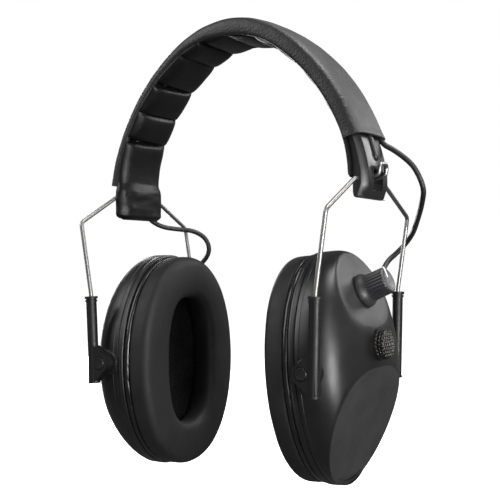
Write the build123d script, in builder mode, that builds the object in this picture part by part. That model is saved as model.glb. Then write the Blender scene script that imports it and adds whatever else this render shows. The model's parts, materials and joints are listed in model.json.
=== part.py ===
"""Folding electronic earmuff: padded headband, wire yokes, sliding carriages and two ear cups.

Millimetres, +Z up, +X towards the wearer's volume-knob cup, -Y towards the front.
The origin is midway between the two pivot-pin axes, which run along Y at z = 0.
Every right-hand piece is drawn at +X; the left-hand pieces are their mirror images.
"""
import math
import os

from build123d import *

os.makedirs("parts", exist_ok=True)

SIDES = ("right", "left")
EASE = 0.1                      # gap between two pieces of one body that only sit together

# Headband arch: a crown arc, then a flatter arm arc on each side, seen from the front
crown_top_z = 160.8
crown_radius = 54.0
crown_turn = 35.0               # degrees from the top to where the arms begin
arm_radius = 100.0
crown_centre_z = crown_top_z - crown_radius
arm_centre_x = (arm_radius - crown_radius) * math.sin(math.radians(crown_turn))
arm_centre_z = crown_centre_z - (arm_radius - crown_radius) * math.cos(math.radians(crown_turn))

# Sleeve, pad, spring and end blocks; depths are measured inwards from the arch's outer face
cover_depth = 7.0
cover_wall = 1.2
cover_half_width = 15.5
cover_edge_radius = 3.0
loop_notch = (5.8, 3.4)         # half width and height, cut from the sleeve's left end
pad_corner_radius = 0.9
cover_end_turn = {"right": 71.3, "left": 79.7}
pad_depths = (7.1, 9.2)
pad_half_width = 15.5
pad_bend_turn = 70.0
pad_bend_radius = 40.0
pad_end_z = {"right": 82.0, "left": 69.0}
spring_depths = (4.7, 5.5)
spring_half_width = 8.0
spring_end_turn = 65.0
block_face_depth = 1.8
block_plate_depth = 4.6
block_half_width = 12.5
plate_half_width = 9.5
block_bottom_z = 73.2
block_shoulder_z = 102.6
block_outer_x = 70.5
block_inner_x = 63.9
rib_depth = 1.25
plate_turns = (56.0, 72.0)
rib_turns = (71.6, 77.4)
rib_half_width = 1.6
groove_turns = (62.0, 83.5)
window_half_width = 5.0
window_z = (77.0, 85.6)
rivet_turns = (59.0, 62.5)
rivet_radius = 1.5
rivet_head_radius = 2.4
rivet_head_height = 0.5

# Yoke wire
wire_radius = 1.0
yoke_pivot = (66.0, 81.3)       # x and z of the hinge axis through the block
yoke_hole_radius = wire_radius + 0.05
knee = (66.1, 41.6, 66.8)
crank_half_width = 3.5
crank_elbow = (72.2, 83.6)
crank_tip = (72.9, 88.2)

# Sliders
slider_y = 41.4
slider_foot = (58.9, -9.5)
slider_top = (60.5, 31.5)
slider_radius = 2.5
slider_bore_radius = wire_radius + 0.07
slider_length = math.dist(slider_foot, slider_top)
wire_foot_fraction = 0.08      # how far up the tube the wire's end sits
ear_faces_y = (38.8, 43.4)
ear_radius = 4.5
slider_rings = (                # height above the tube's foot, length, radius
    (0, slider_length, slider_radius),
    (0, 0.8, slider_radius + 0.35),
    (slider_length - 2.6, 0.9, slider_radius + 0.4),
    (slider_length - 1.2, 1.2, slider_radius + 0.6),
)

# Pivot pins and their bosses on the cups
pin_x = 54.2
pin_radius = 3.0
pin_clearance = 0.06
pin_spigot_radius = 1.75
pin_spigot_length = 4.5
boss_radius = 6.0
boss_face_y = 38.5

# Ear cup, in the cup's own upright position; it is then leaned about the pins
rest_lean = {"right": -3.7, "left": -0.4}
cup_centre_z = -0.8
cup_half_height = 52.0
cup_half_width = 37.6
cup_wall = 2.2
cushion_x = (32.5, 41.8)
cushion_half = (50.6, 36.6)
cushion_hole_half = (30.5, 17.5)
plate_x = (42.0, 44.6)
neck_half = (42.5, 28.0)
neck_length = 2.0
neck_wall = 1.6
rim_x = (45.0, 48.0)
ledge_x = 46.8
ledge_half = (43.5, 29.0)
baffle_x = (48.1, 49.6)
shell_x = 48.1
dome_x = 51.5
dome_depth = 18.5
dome_powers = {"top": 2.6, "bottom": 1.8, "side": 2.7}
dome_stations = (0, 0.25, 0.5, 0.7, 0.85, 0.94, 0.98)
upper_facet = Plane(
    origin=(64.0, 0, 32.0), x_dir=(0, 1, 0),
    z_dir=(math.cos(math.radians(19)), 0, math.sin(math.radians(19))),
)
lower_facet = Plane(
    origin=(70.0, 0, -1.0), x_dir=(0, 1, 0),
    z_dir=(math.cos(math.radians(22)), 0, -math.sin(math.radians(22))),
)
facet_wall = 2.4
battery_wall = 4.4
screw_oval = (46.2, 31.9)
screw_radius = 1.1
screw_boss_radius = 3.0
screw_reach = 2.0

# Microphone, speaker, knob, battery door and cable
mic_z = 8.5
mic_radius = 7.0
mic_screen_radius = 6.6
mic_faces_x = (67.0, 71.0, 74.8)
capsule_radius = 4.85
screen_wall = 0.5
speaker_z = 7.0
speaker_radius = 16.0
knob_height = 13.5
knob_gap = 0.4
knob_skirt_radius = 7.7
knob_grip_radius = 5.9
pot_bush_radius = 3.5
pot_shaft_radius = 3.0
pot_nut_height = 1.8
knob_skirt_height = 2.0
knob_cavity_radius = 5.6
knob_rib_count = 36
pointer_width = 1.1
pointer_depth = 0.5
board_x = 58.6
cap_radius = 12.8
cap_depth = 1.8
cap_slot = (12.0, 1.6, 0.8)
cell_radius = 10.0
cell_thickness = 3.2
cell_centre = -19.0             # along the lower facet, up positive
tray_wall = 1.1
cable_radius = 1.25
cable_depth = 2.7               # inside the sleeve, from the arch's outer face
cable_y = 11.0
band_cable_turn = {"right": 65.5, "left": 60.0}
grommet_base = Vector(60.0, 25.5, 34.0)
grommet_axis = Vector(-0.15, 0.80, 0.58).normalized()
grommet_reach = 8.0
grommet_radius = 2.15
grommet_plug = 5.6
cable_approach = 11.0

right_route = [
    (66.3, 11.1, 99.2), (72.4, 13.5, 95.7), (79.5, 16.0, 89.3), (84.3, 18.5, 79.5),
    (80.5, 24.5, 71.5), (74.5, 34.0, 65.5), (66.5, 46.5, 58.5), (59.0, 47.5, 51.0),
]
left_route = [
    (-61.9, 11.0, 110.1), (-65.6, 11.0, 100.5), (-68.7, 11.0, 89.5), (-71.6, 11.8, 79.3),
    (-72.5, 16.5, 71.5), (-69.0, 24.0, 67.0), (-63.0, 31.5, 65.8), (-56.5, 37.0, 65.0),
    (-51.0, 41.0, 60.5), (-50.2, 42.8, 52.6),
]
route_joins = {                 # run, counted from 0, and how far along it two pieces meet
    "right": ((3, 0.28), (6, 0.5)),
    "left": ((3, 0.5), (7, 0.5)),
}


def arch_point(depth, turn):
    """A point (x, z) on the right arm, this deep under the outer face, this far round from the top."""
    reach = arm_radius - depth
    angle = math.radians(turn)
    return (reach * math.sin(angle) - arm_centre_x, reach * math.cos(angle) + arm_centre_z)


pad_bend_centre = tuple(
    place - pad_bend_radius * share for place, share in zip(
        arch_point(pad_depths[0], pad_bend_turn),
        (math.sin(math.radians(pad_bend_turn)), math.cos(math.radians(pad_bend_turn)))))


def arch_edges(depth, right_turn, left_turn):
    """The three tangent arcs of the arch at one depth, from the right end round to the left end."""
    CenterArc((-arm_centre_x, arm_centre_z), arm_radius - depth, 90 - right_turn,
              right_turn - crown_turn)
    CenterArc((0, crown_centre_z), crown_radius - depth, 90 - crown_turn, 2 * crown_turn)
    CenterArc((arm_centre_x, arm_centre_z), arm_radius - depth, 90 + crown_turn,
              left_turn - crown_turn)


def arch_outline(outer, inner, right_turn, left_turn):
    """Front view of the whole arch between two depths."""
    with BuildSketch(Plane.XZ) as outline:
        with BuildLine():
            arch_edges(outer, right_turn, left_turn)
            arch_edges(inner, right_turn, left_turn)
            for sign, turn in ((1, right_turn), (-1, left_turn)):
                (x1, z1), (x2, z2) = arch_point(outer, turn), arch_point(inner, turn)
                Line((sign * x1, z1), (sign * x2, z2))
        make_face()
    return outline.sketch


def arm_outline(outer, inner, first_turn, last_turn, plane=Plane.XZ):
    """Front view of a stretch of the right arm between two depths and two turns."""
    with BuildSketch(plane) as outline:
        with BuildLine():
            for depth in (outer, inner):
                CenterArc((-arm_centre_x, arm_centre_z), arm_radius - depth, 90 - last_turn,
                          last_turn - first_turn)
            for turn in (first_turn, last_turn):
                Line(arch_point(outer, turn), arch_point(inner, turn))
        make_face()
    return outline.sketch


def to_side(part, side):
    return part if side == "right" else part.mirror(Plane.YZ)


def on_cup(part, side):
    """Lean a cup piece about its pivot pins, then mirror it for the left side."""
    if isinstance(part, list):
        return Compound(children=[on_cup(piece, side) for piece in part])
    leaned = part.rotate(Axis((pin_x, 0, 0), (0, 1, 0)), rest_lean[side])
    return to_side(leaned, side)


def cup_point(point, side):
    leaned = Vector(*point) - Vector(pin_x, 0, 0)
    leaned = leaned.rotate(Axis.Y, rest_lean[side]) + Vector(pin_x, 0, 0)
    return leaned if side == "right" else Vector(-leaned.X, leaned.Y, leaned.Z)


def along_y(y, sign):
    """Sketch plane across the Y axis at this distance, facing away from the middle."""
    return Plane(origin=(0, sign * y, 0), x_dir=(1, 0, 0), z_dir=(0, sign, 0))


def save(part, name):
    part.label = name
    export_step(part, f"parts/{name}.step")


# ---------------------------------------------------------------- headband

with BuildPart() as headband_cover:
    extrude(arch_outline(0, cover_depth, cover_end_turn["right"], cover_end_turn["left"]),
            amount=cover_half_width, both=True)
    outer_rims = headband_cover.edges().filter_by(GeomType.CIRCLE).filter_by(
        lambda edge: min(abs(edge.radius - crown_radius), abs(edge.radius - arm_radius)) < 0.01)
    fillet(outer_rims, cover_edge_radius)
    extrude(arch_outline(cover_wall, cover_depth + 1, cover_end_turn["right"] + 1,
                         cover_end_turn["left"] + 1),
            amount=cover_half_width - cover_wall, both=True, mode=Mode.SUBTRACT)
    with BuildSketch(Plane.YZ.offset(-block_outer_x)):
        with Locations((0, arch_point(0, cover_end_turn["left"])[1])):
            Rectangle(2 * loop_notch[0], 2 * loop_notch[1])
    extrude(amount=-cover_depth, mode=Mode.SUBTRACT)
save(headband_cover.part, "headband_cover")


def pad_end_edges(depth, sign, end_z):
    """From the arch, the pad turns upright round a tighter arc and then runs straight down."""
    bend = pad_bend_radius - (depth - pad_depths[0])
    centre_x, centre_z = pad_bend_centre
    start = 0 if sign > 0 else 90 + pad_bend_turn
    CenterArc((sign * centre_x, centre_z), bend, start, 90 - pad_bend_turn)
    Line((sign * (centre_x + bend), centre_z), (sign * (centre_x + bend), end_z))
    return sign * (centre_x + bend)


with BuildPart() as headband_pad:
    with BuildSketch(Plane.XZ):
        with BuildLine():
            for depth in pad_depths:
                arch_edges(depth, pad_bend_turn, pad_bend_turn)
            for side, sign in (("right", 1), ("left", -1)):
                feet = [pad_end_edges(depth, sign, pad_end_z[side]) for depth in pad_depths]
                Line((feet[0], pad_end_z[side]), (feet[1], pad_end_z[side]))
        make_face()
    extrude(amount=pad_half_width, both=True)
    fillet(headband_pad.edges().filter_by(Axis.X), pad_corner_radius)
save(headband_pad.part, "headband_pad")

with BuildPart() as headband_spring:
    extrude(arch_outline(*spring_depths, spring_end_turn, spring_end_turn),
            amount=spring_half_width, both=True)


def rivet_plane(turn, depth):
    x, z = arch_point(depth, turn)
    angle = math.radians(turn)
    return Plane(origin=(x, 0, z), x_dir=(0, 1, 0), z_dir=(math.sin(angle), 0, math.cos(angle)))


def rivet(turn):
    """A tubular rivet through the end block's plate and the spring, a head on each side."""
    with BuildPart() as one:
        for radius, deep, shallow in (
            (rivet_radius, spring_depths[1], block_face_depth),
            (rivet_head_radius, block_face_depth, block_face_depth - rivet_head_height),
            (rivet_head_radius, spring_depths[1] + rivet_head_height, spring_depths[1]),
        ):
            with BuildSketch(rivet_plane(turn, deep)):
                Circle(radius)
            extrude(amount=deep - shallow)
    return one.part


rivets = [to_side(rivet(turn), side) for side in SIDES for turn in rivet_turns]
for piece in rivets:
    headband_spring.part = headband_spring.part - piece
save(headband_spring.part, "headband_spring")
save(Compound(children=rivets), "band_rivets")


def end_block():
    """Plastic block on the spring's end: plate, wide foot with a window, rib and cable groove."""
    bend = pad_bend_radius + 0.6
    centre_x, centre_z = pad_bend_centre
    shoulder_turn = math.degrees(math.acos((block_shoulder_z - arm_centre_z)
                                           / (arm_radius - block_face_depth)))
    face_turn = math.degrees(math.asin((block_outer_x + arm_centre_x)
                                       / (arm_radius - block_face_depth)))
    inner_angle = math.degrees(math.asin((block_shoulder_z - centre_z) / bend))
    with BuildPart() as block:
        extrude(arm_outline(block_face_depth, block_plate_depth, *plate_turns),
                amount=plate_half_width, both=True)
        with BuildSketch(Plane.XZ):
            with BuildLine():
                CenterArc((-arm_centre_x, arm_centre_z), arm_radius - block_face_depth,
                          90 - face_turn, face_turn - shoulder_turn)
                CenterArc((centre_x, centre_z), bend, 0, inner_angle)
                Polyline(
                    (block_outer_x, arch_point(block_face_depth, face_turn)[1]),
                    (block_outer_x, window_z[0] + 1.5),
                    (block_outer_x - 2.0, block_bottom_z),
                    (block_inner_x + 1.2, block_bottom_z),
                    (block_inner_x, block_bottom_z + 2.4),
                    (centre_x + bend, centre_z),
                )
                Line((centre_x + bend * math.cos(math.radians(inner_angle)), block_shoulder_z),
                     (arch_point(block_face_depth, shoulder_turn)[0], block_shoulder_z))
            make_face()
        extrude(amount=block_half_width, both=True)
        extrude(arm_outline(rib_depth, block_face_depth + 0.3, *rib_turns),
                amount=rib_half_width, both=True)
        corners = block.edges().filter_by(Axis.Z).filter_by(
            lambda edge: abs(abs(edge.center().Y) - block_half_width) < 0.01
            and edge.center().X > block_outer_x - 0.1)
        chamfer(corners, 1.6)
        with BuildSketch(Plane.YZ):
            with Locations((0, sum(window_z) / 2)):
                Rectangle(2 * window_half_width, window_z[1] - window_z[0])
        extrude(amount=2 * block_outer_x, mode=Mode.SUBTRACT)
        with BuildSketch(Plane.XZ):
            with Locations(yoke_pivot):
                Circle(yoke_hole_radius)
        extrude(amount=block_half_width + 1, both=True, mode=Mode.SUBTRACT)
        groove = arm_outline(cable_depth - cable_radius - 0.25, cable_depth + cable_radius + 0.25,
                             *groove_turns, plane=Plane.XZ.offset(-plate_half_width))
        extrude(groove, amount=-(block_half_width - plate_half_width + 1), mode=Mode.SUBTRACT)
        with BuildSketch(Plane.YZ.offset(block_outer_x - 0.6)):
            with Locations((0, (block_bottom_z + window_z[0]) / 2)):
                Rectangle(0.5, window_z[0] - block_bottom_z + 1)
        extrude(amount=1, mode=Mode.SUBTRACT)
    return block.part


for side in SIDES:
    block_part = to_side(end_block(), side)
    for piece in rivets:
        block_part = block_part - piece
    save(block_part, f"end_block_{side}")

# ---------------------------------------------------------------- yokes


def yoke_wire():
    """One bent wire: up out of the front slider, through the block by way of a crank, and back."""
    x, z = yoke_pivot
    foot = (slider_foot[0] + (slider_top[0] - slider_foot[0]) * wire_foot_fraction,
            slider_foot[1] + (slider_top[1] - slider_foot[1]) * wire_foot_fraction)
    front = [
        (foot[0], -slider_y, foot[1]),
        (slider_top[0] + 0.04, -slider_y, slider_top[1] + 1.1),
        (knee[0], -knee[1], knee[2]),
        (x, -block_half_width - 2.0, z),
        (x, -crank_half_width, z),
        (crank_elbow[0], -crank_half_width, crank_elbow[1]),
        (crank_tip[0], -crank_half_width, crank_tip[1]),
    ]
    bends = [12.0, 3.0, 2.6, 1.4, 1.6, 2.2]
    rear = [(px, -py, pz) for px, py, pz in reversed(front)]
    with BuildPart() as wire:
        with BuildLine() as route:
            FilletPolyline(*front, *rear, radius=bends + bends[::-1])
        with BuildSketch(Plane(origin=route.line @ 0, z_dir=route.line % 0)):
            Circle(wire_radius)
        sweep()
    return wire.part


for side in SIDES:
    save(to_side(yoke_wire(), side), f"yoke_wire_{side}")

# ---------------------------------------------------------------- sliders


def slider():
    """Front slider: a tube that runs on the wire, with an ear for the cup's pivot pin."""
    tube_plane = Plane(
        origin=(slider_foot[0], -slider_y, slider_foot[1]), x_dir=(0, 1, 0),
        z_dir=(slider_top[0] - slider_foot[0], 0, slider_top[1] - slider_foot[1]))
    with BuildPart() as body:
        with BuildSketch(Plane.XZ.offset(ear_faces_y[0])):
            with Locations((pin_x, 0)):
                Circle(ear_radius)
            with Locations((slider_foot[0] + 0.4, slider_foot[1] / 2 + 4.2)):
                Rectangle(3.0, abs(slider_foot[1]) + 8.0)
            make_hull()
        extrude(amount=ear_faces_y[1] - ear_faces_y[0])
        for height, length, radius in slider_rings:
            with BuildSketch(tube_plane.offset(height)):
                Circle(radius)
            extrude(amount=length)
        with BuildSketch(tube_plane.offset(-1)):
            Circle(slider_bore_radius)
        extrude(amount=slider_length + 2, mode=Mode.SUBTRACT)
        with BuildSketch(Plane.XZ.offset(ear_faces_y[0] - 1)):
            with Locations((pin_x, 0)):
                Circle(pin_radius + pin_clearance)
        extrude(amount=ear_faces_y[1] - ear_faces_y[0] + 2, mode=Mode.SUBTRACT)
    return body.part


for side in SIDES:
    front_slider = to_side(slider(), side)
    save(front_slider, f"slider_front_{side}")
    save(front_slider.mirror(Plane.XZ), f"slider_rear_{side}")

# ---------------------------------------------------------------- ear cups


def oval(x, half, centre_z=cup_centre_z):
    """Oval sketch across the cup at this depth; half is (half height, half width)."""
    with BuildSketch(Plane.YZ.offset(x)) as section:
        with Locations((0, centre_z)):
            Ellipse(half[1], half[0])
    return section.sketch


def ring_between(x1, x2, outer, inner):
    extrude(oval(x1, outer), amount=x2 - x1)
    extrude(oval(x1, inner), amount=x2 - x1, mode=Mode.SUBTRACT)


def cup_form(shrink=0.0, upper_wall=0.0, lower_wall=0.0):
    """The cup outside its rim, solid; shrink and the walls set it back for the hollow."""
    def fullness(station, power):
        return (1 - station ** power) ** (1 / power)

    start = shell_x - shrink
    sections = []
    for station in dome_stations:
        top = (cup_half_height - shrink) * fullness(station, dome_powers["top"])
        bottom = (cup_half_height - shrink) * fullness(station, dome_powers["bottom"])
        width = (cup_half_width - shrink) * fullness(station, dome_powers["side"])
        sections.append(oval(dome_x + station * (dome_depth - shrink),
                             ((top + bottom) / 2, width), cup_centre_z + (top - bottom) / 2))
    with BuildPart() as form:
        loft(sections)
        split(bisect_by=upper_facet.offset(-upper_wall), keep=Keep.BOTTOM)
        split(bisect_by=lower_facet.offset(-lower_wall), keep=Keep.BOTTOM)
        extrude(oval(start, (cup_half_height - shrink, cup_half_width - shrink)),
                amount=dome_x - start)
    return form.part


screw_spots = [
    (sy * screw_oval[1] * math.sin(math.radians(40)),
     cup_centre_z + sz * screw_oval[0] * math.cos(math.radians(40)))
    for sy in (1, -1) for sz in (1, -1)
]
cup_outside = cup_form()
cup_hollow = {
    "right": cup_form(cup_wall, facet_wall, facet_wall),
    "left": cup_form(cup_wall, facet_wall, battery_wall),
}
cell_plane = Plane(origin=lower_facet.from_local_coords((0, cell_centre, 0)),
                   x_dir=(0, 1, 0), z_dir=lower_facet.z_dir)


def screw_bosses():
    with BuildPart() as bosses:
        with BuildSketch(Plane.YZ.offset(baffle_x[1])):
            with Locations(*screw_spots):
                Circle(screw_boss_radius)
        extrude(amount=dome_depth)
        add(cup_outside, mode=Mode.INTERSECT)
        with BuildSketch(Plane.YZ.offset(baffle_x[1])):
            with Locations(*screw_spots):
                Circle(screw_radius)
        extrude(amount=screw_reach, mode=Mode.SUBTRACT)
    return bosses.part


def cup_shell(side):
    """Outer half of a cup: rim lip and dome with two flats, hollow, with its bosses and holes."""
    with BuildPart() as shell:
        add(cup_outside)
        for sign in (1, -1):
            with BuildSketch(along_y(boss_face_y - 5.5, sign)):
                with Locations((pin_x, 0)):
                    Circle(boss_radius)
            extrude(amount=5.5)
        add(cup_hollow[side], mode=Mode.SUBTRACT)
        add(screw_bosses())
        for sign in (1, -1):
            with BuildSketch(along_y(boss_face_y - 5.5, sign)):
                with Locations((pin_x, 0)):
                    Circle(boss_radius - 1.5)
            extrude(amount=5.5)
            with BuildSketch(along_y(boss_face_y - pin_spigot_length, sign)):
                with Locations((pin_x, 0)):
                    Circle(pin_spigot_radius)
            extrude(amount=pin_spigot_length, mode=Mode.SUBTRACT)
        with BuildSketch(Plane.YZ.offset(baffle_x[1])):
            with Locations((0, mic_z)):
                Circle(mic_radius + EASE)
        extrude(amount=2 * dome_depth, mode=Mode.SUBTRACT)
        with BuildSketch(Plane(origin=grommet_base - grommet_axis * 6, z_dir=grommet_axis)):
            Circle(grommet_radius + 0.05)
        extrude(amount=12, mode=Mode.SUBTRACT)
        if side == "right":
            with BuildSketch(upper_facet.offset(1)):
                Circle(pot_bush_radius + EASE)
            extrude(amount=-6, mode=Mode.SUBTRACT)
        else:
            with BuildSketch(cell_plane.offset(1)):
                Circle(cap_radius + 0.2)
            extrude(amount=-cap_depth - 1, mode=Mode.SUBTRACT)
            with BuildSketch(cell_plane.offset(1)):
                Circle(cell_radius + 0.3)
            extrude(amount=-battery_wall - 2, mode=Mode.SUBTRACT)
    return shell.part


def rim_ring():
    with BuildPart() as ring:
        ring_between(*rim_x, (cup_half_height, cup_half_width),
                     (cup_half_height - cup_wall, cup_half_width - cup_wall))
        extrude(oval(ledge_x, (cup_half_height - 1, cup_half_width - 1)),
                amount=rim_x[1] - ledge_x)
        extrude(oval(ledge_x, ledge_half), amount=rim_x[1] - ledge_x, mode=Mode.SUBTRACT)
        with BuildSketch(Plane.YZ.offset(ledge_x - 0.1)):
            with Locations(*screw_spots):
                Circle(screw_radius + EASE)
        extrude(amount=2, mode=Mode.SUBTRACT)
    return ring.part


def cushion_plate():
    with BuildPart() as plate:
        ring_between(*plate_x, (cushion_half[0] + 0.3, cushion_half[1] + 0.3), cushion_hole_half)
        fillet(plate.edges().group_by(Axis.X)[0].sort_by(SortBy.LENGTH)[-1], 0.8)
        extrude(oval(plate_x[1], neck_half), amount=neck_length)
        extrude(oval(plate_x[1], (neck_half[0] - neck_wall, neck_half[1] - neck_wall)),
                amount=neck_length, mode=Mode.SUBTRACT)
    return plate.part


def cushion():
    with BuildPart() as soft:
        ring_between(*cushion_x, cushion_half, cushion_hole_half)
        face_rims = soft.edges().group_by(Axis.X)
        fillet(face_rims[0].sort_by(SortBy.LENGTH)[-1], 4.5)
        fillet(face_rims[0].sort_by(SortBy.LENGTH)[0], 3.5)
    return soft.part


def foam_liner():
    with BuildPart() as foam:
        half = (neck_half[0] - neck_wall - 0.3, neck_half[1] - neck_wall - 0.3)
        extrude(oval(plate_x[1] + EASE, half), amount=baffle_x[0] - plate_x[1] - 2 * EASE)
    return foam.part


def baffle():
    """Inner plate that closes the cup behind the foam, with sound holes before the speaker."""
    with BuildPart() as plate:
        half = (cup_half_height - cup_wall - 0.4, cup_half_width - cup_wall - 0.4)
        extrude(oval(baffle_x[0], half), amount=baffle_x[1] - baffle_x[0])
        with BuildSketch(Plane.YZ.offset(baffle_x[0])):
            with Locations(*screw_spots):
                Circle(screw_radius + EASE)
            with Locations((0, speaker_z)):
                Circle(1.5)
                with PolarLocations(speaker_radius / 2, 6):
                    Circle(1.5)
        extrude(amount=baffle_x[1] - baffle_x[0], mode=Mode.SUBTRACT)
    return plate.part


def stack(plane, steps):
    """Coaxial discs: each step is (start height, end height, radius)."""
    with BuildPart() as pile:
        for low, high, radius in steps:
            with BuildSketch(plane.offset(low)):
                Circle(radius)
            extrude(amount=high - low)
    return pile.part


def bored(part, plane, low, high, radius):
    with BuildPart() as result:
        add(part)
        with BuildSketch(plane.offset(low)):
            Circle(radius)
        extrude(amount=high - low, mode=Mode.SUBTRACT)
    return result.part


speaker_plane = Plane(origin=(0, 0, speaker_z), x_dir=(0, 1, 0), z_dir=(1, 0, 0))
mic_plane = Plane(origin=(0, 0, mic_z), x_dir=(0, 1, 0), z_dir=(1, 0, 0))
grommet_plane = Plane(origin=grommet_base, z_dir=grommet_axis)


def speaker():
    return stack(speaker_plane, [
        (baffle_x[1], baffle_x[1] + 1.6, speaker_radius),
        (baffle_x[1] + 1.6, baffle_x[1] + 4.4, speaker_radius - 3),
        (baffle_x[1] + 4.4, baffle_x[1] + 8.2, speaker_radius - 7),
    ])


def mic_housing():
    ring = stack(mic_plane, [(mic_faces_x[0], mic_faces_x[1], mic_radius)])
    return bored(ring, mic_plane, mic_faces_x[0] - 1, mic_faces_x[1] + 1, capsule_radius)


def mic_capsule():
    return stack(mic_plane, [(mic_faces_x[0] - 0.5, mic_faces_x[1] + 0.6, capsule_radius)])


def mic_screen():
    cap = stack(mic_plane, [(mic_faces_x[1], mic_faces_x[2], mic_screen_radius)])
    return bored(cap, mic_plane, mic_faces_x[1] - 1, mic_faces_x[2] - screen_wall,
                 mic_screen_radius - screen_wall)


def cable_grommet():
    """Rubber strain relief: a plug in the shell's hole and a tapered nose round the cable."""
    with BuildPart() as rubber:
        with BuildSketch(grommet_plane.offset(-grommet_plug)):
            Circle(grommet_radius)
        extrude(amount=grommet_plug + 1.6)
        with BuildSketch(grommet_plane.offset(1.6)):
            Circle(grommet_radius)
        with BuildSketch(grommet_plane.offset(grommet_reach)):
            Circle(cable_radius + 0.35)
        loft()
    return rubber.part


def pivot_pins():
    pins = []
    for sign in (1, -1):
        plane = Plane(origin=(pin_x, 0, 0), x_dir=(1, 0, 0), z_dir=(0, sign, 0))
        pins.append(stack(plane, [
            (boss_face_y - pin_spigot_length, boss_face_y, pin_spigot_radius),
            (boss_face_y, ear_faces_y[1], pin_radius),
        ]))
    return pins


def shell_screws():
    screws = []
    for y, z in screw_spots:
        plane = Plane(origin=(0, y, z), x_dir=(0, 1, 0), z_dir=(1, 0, 0))
        screws.append(stack(plane, [
            (ledge_x - 1.5, ledge_x, 2 * screw_radius),
            (ledge_x, baffle_x[1] + screw_reach - 0.2, screw_radius),
        ]))
    return screws


for side in SIDES:
    for name, make in (
        ("rim_ring", rim_ring), ("cushion_plate", cushion_plate), ("cushion", cushion),
        ("foam_liner", foam_liner), ("baffle", baffle), ("speaker", speaker),
        ("mic_housing", mic_housing), ("mic_capsule", mic_capsule), ("mic_screen", mic_screen),
        ("cable_grommet", cable_grommet), ("pivot_pins", pivot_pins),
        ("shell_screws", shell_screws),
    ):
        save(on_cup(make(), side), f"{name}_{side}")
    save(on_cup(cup_shell(side), side), f"cup_shell_{side}")

# ---------------------------------------------------------------- right cup's electronics

with BuildPart() as circuit_board:
    with BuildSketch(Plane.YZ.offset(board_x)):
        with Locations((0, 2.5)):
            Rectangle(40, 35)
            with GridLocations(34, 29, 2, 2):
                Circle(1.2, mode=Mode.SUBTRACT)
    extrude(amount=1.6)
    with BuildSketch(Plane.YZ.offset(board_x + 1.6)):
        with Locations((-12, 8), (11, -6), (-6, -8)):
            Rectangle(7, 5)
    extrude(amount=1.4)
save(on_cup(circuit_board.part, "right"), "circuit_board")

potentiometer = stack(upper_facet, [
    (-facet_wall - 5.6, -facet_wall - EASE, 7.0),
    (-facet_wall - EASE, 0.2 + pot_nut_height, pot_bush_radius),
    (0.2 + pot_nut_height, knob_height - 3.5, pot_shaft_radius),
])
save(on_cup(potentiometer, "right"), "potentiometer")

with BuildPart() as pot_nut:
    with BuildSketch(upper_facet.offset(0.05)):
        RegularPolygon(5.2, 6)
        Circle(pot_bush_radius, mode=Mode.SUBTRACT)
    extrude(amount=pot_nut_height)
save(on_cup(pot_nut.part, "right"), "pot_nut")

with BuildPart() as volume_knob:
    with BuildSketch(upper_facet.offset(knob_gap)):
        Circle(knob_skirt_radius)
    extrude(amount=knob_skirt_height)
    with BuildSketch(upper_facet.offset(knob_gap + knob_skirt_height)):
        Circle(knob_skirt_radius)
    with BuildSketch(upper_facet.offset(knob_gap + 2 * knob_skirt_height)):
        Circle(knob_grip_radius)
    loft()
    with BuildSketch(upper_facet.offset(knob_gap + 2 * knob_skirt_height)):
        Circle(knob_grip_radius)
        with PolarLocations(knob_grip_radius + 0.05, knob_rib_count):
            Circle(0.28, mode=Mode.SUBTRACT)
    extrude(amount=knob_height - knob_gap - 2 * knob_skirt_height)
    with BuildSketch(upper_facet.offset(knob_gap)):
        Circle(knob_cavity_radius)
    extrude(amount=pot_nut_height + 0.6, mode=Mode.SUBTRACT)
    with BuildSketch(upper_facet.offset(knob_gap)):
        Circle(pot_shaft_radius + pin_clearance)
    extrude(amount=knob_height - knob_gap - 3.2, mode=Mode.SUBTRACT)
    with BuildSketch(upper_facet.offset(knob_height - pointer_depth)):
        with Locations((0, knob_grip_radius / 2)):
            Rectangle(pointer_width, knob_grip_radius)
    extrude(amount=pointer_depth + 1, mode=Mode.SUBTRACT)
save(on_cup(volume_knob.part, "right"), "volume_knob")

with BuildPart() as knob_pointer:
    with BuildSketch(upper_facet.offset(knob_height - pointer_depth)):
        with Locations((0, knob_grip_radius / 2)):
            Rectangle(pointer_width, knob_grip_radius)
        Circle(knob_grip_radius - 0.3, mode=Mode.INTERSECT)
    extrude(amount=pointer_depth)
save(on_cup(knob_pointer.part, "right"), "knob_pointer")

# ---------------------------------------------------------------- left cup's battery compartment

cell_top = -cap_depth - EASE
cell_bottom = cell_top - 2 * cell_thickness
tray_top = -battery_wall - EASE

battery_tray = bored(
    stack(cell_plane, [(cell_bottom - 0.3 - tray_wall, tray_top, cell_radius + 0.3 + tray_wall)]),
    cell_plane, cell_bottom - 0.3, tray_top + 1, cell_radius + 0.3)
save(on_cup(battery_tray, "left"), "battery_tray")

cells = [
    stack(cell_plane, [(cell_bottom, cell_bottom + cell_thickness - 0.02, cell_radius)]),
    stack(cell_plane, [(cell_bottom + cell_thickness, cell_top, cell_radius)]),
]
save(on_cup(cells, "left"), "coin_cells")

battery_contact = stack(cell_plane, [(cell_bottom - 0.28, cell_bottom - 0.02, 5.0)])
save(on_cup(battery_contact, "left"), "battery_contact")

with BuildPart() as battery_cap:
    with BuildSketch(cell_plane.offset(-cap_depth + 0.05)):
        Circle(cap_radius)
    extrude(amount=cap_depth - 0.05)
    with BuildSketch(cell_plane.offset(-cap_slot[2])):
        SlotOverall(cap_slot[0], cap_slot[1])
    extrude(amount=cap_slot[2] + 1, mode=Mode.SUBTRACT)
save(on_cup(battery_cap.part, "left"), "battery_cap")

# ---------------------------------------------------------------- cable


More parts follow.
